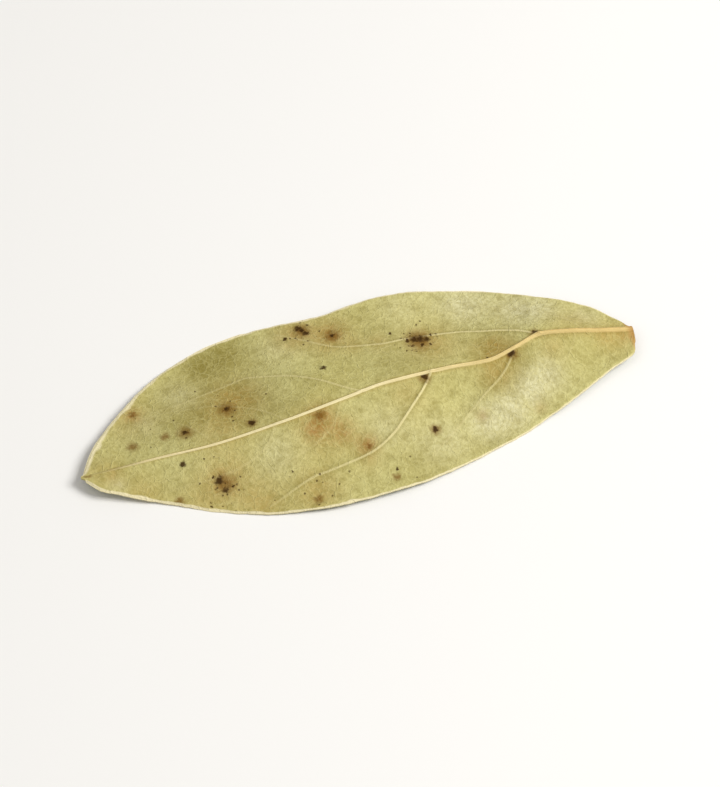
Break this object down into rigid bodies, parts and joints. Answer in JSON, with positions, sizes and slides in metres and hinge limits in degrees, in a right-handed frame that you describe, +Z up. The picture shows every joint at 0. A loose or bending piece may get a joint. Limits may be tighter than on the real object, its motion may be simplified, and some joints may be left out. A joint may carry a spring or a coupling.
{
  "type": "dried bay leaf",
  "caption": "Single dried bay leaf lying underside up: pointed elliptical blade, raised midrib, gently waved edge, stalk snapped off at the base.",
  "frame": {"origin": "middle of the leaf's box, on the surface that it lies on", "axes": "+X from tip to base along the leaf, +Y across the blade, +Z up, away from the surface"},
  "size_m": [0.08, 0.0326, 0.0044],
  "materials": {
    "leaf": "matt, faintly waxy"
  },
  "bodies": {
    "root": {"bay_leaf": "leaf"}
  },
  "joints": []
}
